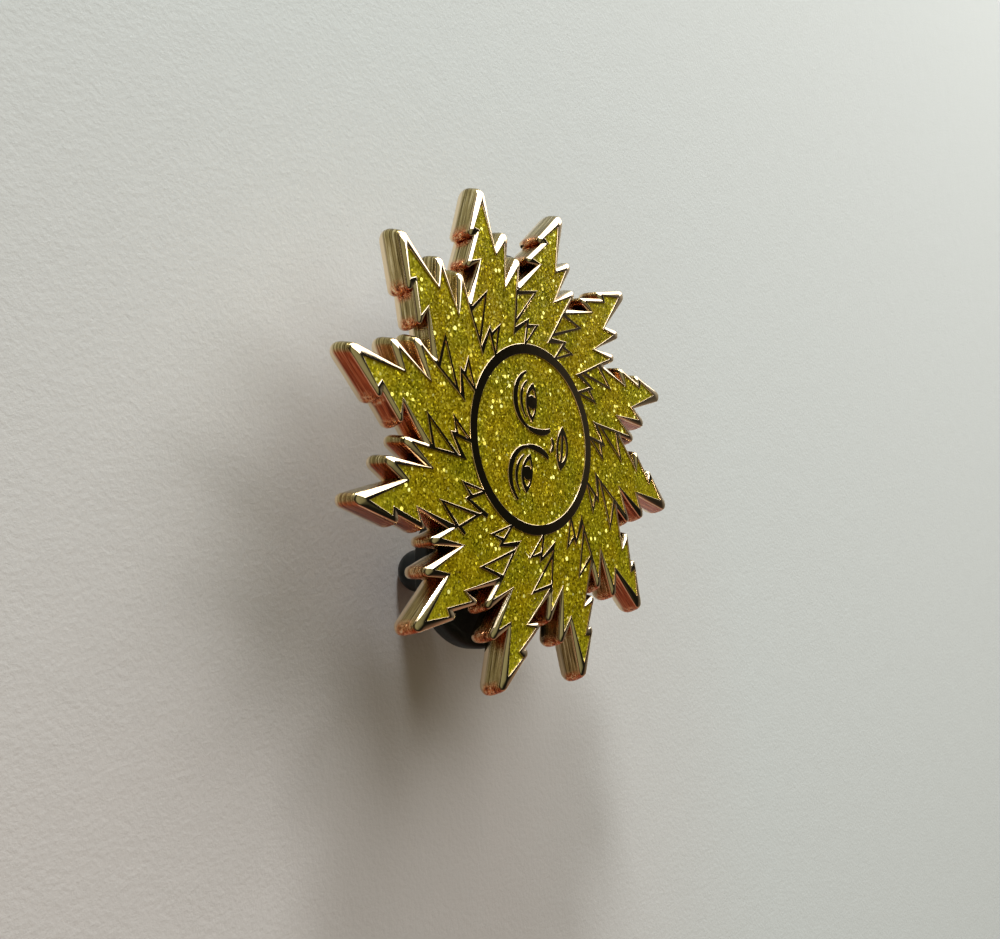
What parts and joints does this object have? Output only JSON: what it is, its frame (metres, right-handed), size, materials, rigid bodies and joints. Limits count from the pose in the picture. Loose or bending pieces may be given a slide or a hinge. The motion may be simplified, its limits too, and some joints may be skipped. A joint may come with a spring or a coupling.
{
  "type": "enamel lapel pin",
  "caption": "Sun-shaped plated badge with swirling rays, glitter colour fills in raised lines, and twin nail posts on the back with pull-off rubber clutches.",
  "frame": {"origin": "on the plane that the two clutch knobs stand on, straight below the middle of the face", "axes": "+Z is the way the face looks, +Y is towards the top of the badge and +X towards its right-hand side as seen from the front"},
  "size_m": [0.0338, 0.0338, 0.0104],
  "materials": {
    "plated_metal": "polished rose-gold plating",
    "glitter_enamel": "glossy translucent yellow enamel with fine glitter",
    "post_metal": "plated",
    "solder": "satin",
    "clutch_rubber": "matte"
  },
  "bodies": {
    "left_clutch": {"clutch_left": "clutch_rubber"},
    "badge": {"struck_plate": "plated_metal", "ray_fill_01": "glitter_enamel", "ray_fill_02": "glitter_enamel", "ray_fill_03": "glitter_enamel", "ray_fill_04": "glitter_enamel", "ray_fill_05": "glitter_enamel", "ray_fill_06": "glitter_enamel", "ray_fill_07": "glitter_enamel", "ray_fill_08": "glitter_enamel", "ray_fill_09": "glitter_enamel", "ray_fill_10": "glitter_enamel", "ray_fill_11": "glitter_enamel", "ray_fill_12": "glitter_enamel", "flame_fills_large": "glitter_enamel", "flame_fills_small": "glitter_enamel", "face_fill": "glitter_enamel", "eye_fills": "glitter_enamel", "lip_fills": "glitter_enamel", "post_left": "post_metal", "post_right": "post_metal", "solder_left": "solder", "solder_right": "solder"},
    "right_clutch": {"clutch_right": "clutch_rubber"}
  },
  "joints": [
    {"name": "left_clutch_slide", "type": "slide", "parent": "left_clutch", "child": "badge", "axis": [0, 0, 1], "range_m": [0, 0.0072]},
    {"name": "right_clutch_slide", "type": "slide", "parent": "badge", "child": "right_clutch", "axis": [0, 0, -1], "range_m": [0, 0.0072]}
  ]
}
